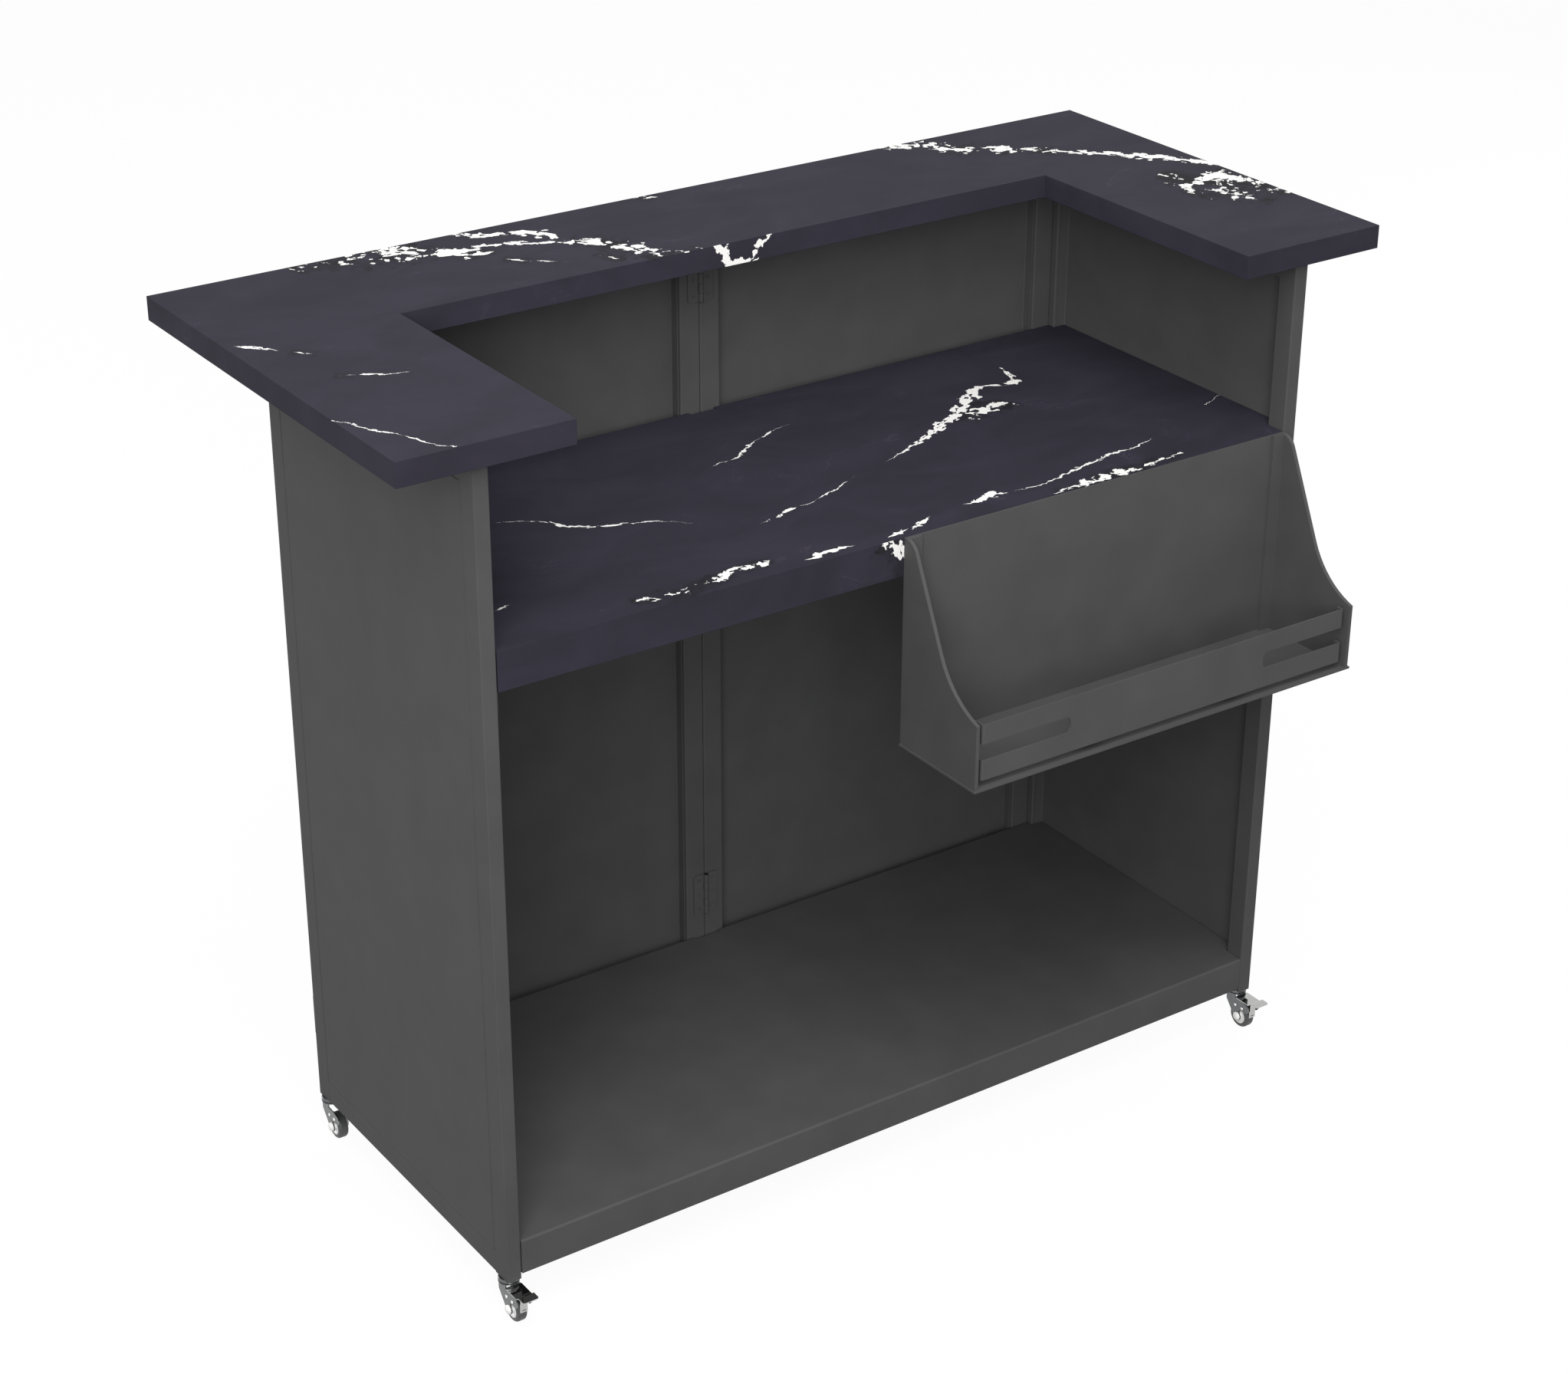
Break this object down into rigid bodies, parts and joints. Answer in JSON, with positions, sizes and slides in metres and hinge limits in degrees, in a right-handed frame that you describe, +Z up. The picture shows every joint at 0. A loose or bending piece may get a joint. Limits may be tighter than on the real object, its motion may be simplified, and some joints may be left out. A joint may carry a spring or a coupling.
{
  "type": "mobile bar unit",
  "caption": "Mobile bar unit with hinged dark grey steel frame, veined black U-shaped counter, worktop, base shelf, hang-on bottle rack and small swivel casters",
  "frame": {"origin": "middle of the footprint's bounding box, on the floor under the wheels", "axes": "+X to the right as the person serving stands, +Y away from them towards the guests, +Z up"},
  "size_m": [1.4, 0.752, 1.1615],
  "materials": {
    "frame_paint": "fine matt dark grey powder coat on sheet and tube",
    "laminate": "satin high-pressure laminate on board, near-black with white veins",
    "caster_steel": "bright zinc plate",
    "pedal_steel": "bright nickel plate",
    "caster_nylon": "moulded white nylon",
    "tyre_rubber": "smooth dark grey tread",
    "fastener_steel": "zinc-plated steel",
    "insert_plastic": "black moulded plug"
  },
  "bodies": {
    "frame": {"left_front_post": "frame_paint", "left_rear_post": "frame_paint", "left_side_rails": "frame_paint", "left_side_panel": "frame_paint", "right_front_post": "frame_paint", "right_rear_post": "frame_paint", "right_side_rails": "frame_paint", "right_side_panel": "frame_paint", "left_back_outer_post": "frame_paint", "left_back_centre_post": "frame_paint", "left_back_rails": "frame_paint", "left_back_panel": "frame_paint", "right_back_outer_post": "frame_paint", "right_back_centre_post": "frame_paint", "right_back_rails": "frame_paint", "right_back_panel": "frame_paint", "centre_hinge_left_leaves": "frame_paint", "centre_hinge_right_leaves": "frame_paint", "corner_hinge_side_leaves": "frame_paint", "corner_hinge_back_leaves": "frame_paint", "hinge_pins": "fastener_steel", "frame_screws": "fastener_steel", "worktop_ledges": "frame_paint", "counter_dowels": "fastener_steel", "caster_inserts": "insert_plastic", "front_left_caster_stem": "caster_steel", "front_right_caster_stem": "caster_steel", "rear_left_caster_stem": "caster_steel", "rear_right_caster_stem": "caster_steel"},
    "counter": {"counter_top": "laminate"},
    "worktop": {"worktop": "laminate"},
    "shelf": {"base_shelf": "frame_paint", "shelf_stiffener": "frame_paint"},
    "rack": {"rack_back_plate": "frame_paint", "rack_left_cheek": "frame_paint", "rack_right_cheek": "frame_paint", "rack_floor": "frame_paint", "rack_front_rail": "frame_paint", "rack_rail_feet": "frame_paint", "rack_studs": "fastener_steel"},
    "front_left_fork": {"front_left_caster_fork": "caster_steel", "front_left_caster_axle": "caster_nylon"},
    "front_left_wheel": {"front_left_caster_wheel": "caster_nylon", "front_left_caster_tyre": "tyre_rubber"},
    "front_left_brake": {"front_left_brake_pedal": "pedal_steel"},
    "front_right_fork": {"front_right_caster_fork": "caster_steel", "front_right_caster_axle": "caster_nylon"},
    "front_right_wheel": {"front_right_caster_wheel": "caster_nylon", "front_right_caster_tyre": "tyre_rubber"},
    "front_right_brake": {"front_right_brake_pedal": "pedal_steel"},
    "rear_left_fork": {"rear_left_caster_fork": "caster_steel", "rear_left_caster_axle": "caster_nylon"},
    "rear_left_wheel": {"rear_left_caster_wheel": "caster_nylon", "rear_left_caster_tyre": "tyre_rubber"},
    "rear_right_fork": {"rear_right_caster_fork": "caster_steel", "rear_right_caster_axle": "caster_nylon"},
    "rear_right_wheel": {"rear_right_caster_wheel": "caster_nylon", "rear_right_caster_tyre": "tyre_rubber"}
  },
  "joints": [
    {"name": "counter_lift", "type": "slide", "parent": "frame", "child": "counter", "axis": [0, 0, 1], "range_m": [0, 0.25]},
    {"name": "worktop_lift", "type": "slide", "parent": "frame", "child": "worktop", "axis": [0, 0, 1], "range_m": [0, 0.19]},
    {"name": "shelf_lift", "type": "slide", "parent": "frame", "child": "shelf", "axis": [0, 0, 1], "range_m": [0, 0.3]},
    {"name": "rack_lift", "type": "slide", "parent": "worktop", "child": "rack", "axis": [0, 0, 1], "range_m": [0, 0.016]},
    {"name": "front_left_swivel", "type": "hinge", "parent": "frame", "child": "front_left_fork", "pos_m": [-0.59, -0.209, 0.0512], "axis": [0, 0, 1], "continuous": true},
    {"name": "front_left_roll", "type": "hinge", "parent": "front_left_fork", "child": "front_left_wheel", "pos_m": [-0.59, -0.224, 0.018], "axis": [1, 0, 0], "continuous": true},
    {"name": "front_left_brake_press", "type": "hinge", "parent": "front_left_fork", "child": "front_left_brake", "pos_m": [-0.59, -0.2335, 0.035], "axis": [1, 0, 0], "range_deg": [0, 5.5]},
    {"name": "front_right_swivel", "type": "hinge", "parent": "frame", "child": "front_right_fork", "pos_m": [0.59, -0.209, 0.0512], "axis": [0, 0, 1], "continuous": true},
    {"name": "front_right_roll", "type": "hinge", "parent": "front_right_fork", "child": "front_right_wheel", "pos_m": [0.59, -0.224, 0.018], "axis": [1, 0, 0], "continuous": true},
    {"name": "front_right_brake_press", "type": "hinge", "parent": "front_right_fork", "child": "front_right_brake", "pos_m": [0.59, -0.2335, 0.035], "axis": [1, 0, 0], "range_deg": [0, 5.5]},
    {"name": "rear_left_swivel", "type": "hinge", "parent": "frame", "child": "rear_left_fork", "pos_m": [-0.59, 0.261, 0.0512], "axis": [0, 0, 1], "continuous": true},
    {"name": "rear_left_roll", "type": "hinge", "parent": "rear_left_fork", "child": "rear_left_wheel", "pos_m": [-0.59, 0.246, 0.018], "axis": [1, 0, 0], "continuous": true},
    {"name": "rear_right_swivel", "type": "hinge", "parent": "frame", "child": "rear_right_fork", "pos_m": [0.59, 0.261, 0.0512], "axis": [0, 0, 1], "continuous": true},
    {"name": "rear_right_roll", "type": "hinge", "parent": "rear_right_fork", "child": "rear_right_wheel", "pos_m": [0.59, 0.246, 0.018], "axis": [1, 0, 0], "continuous": true}
  ]
}
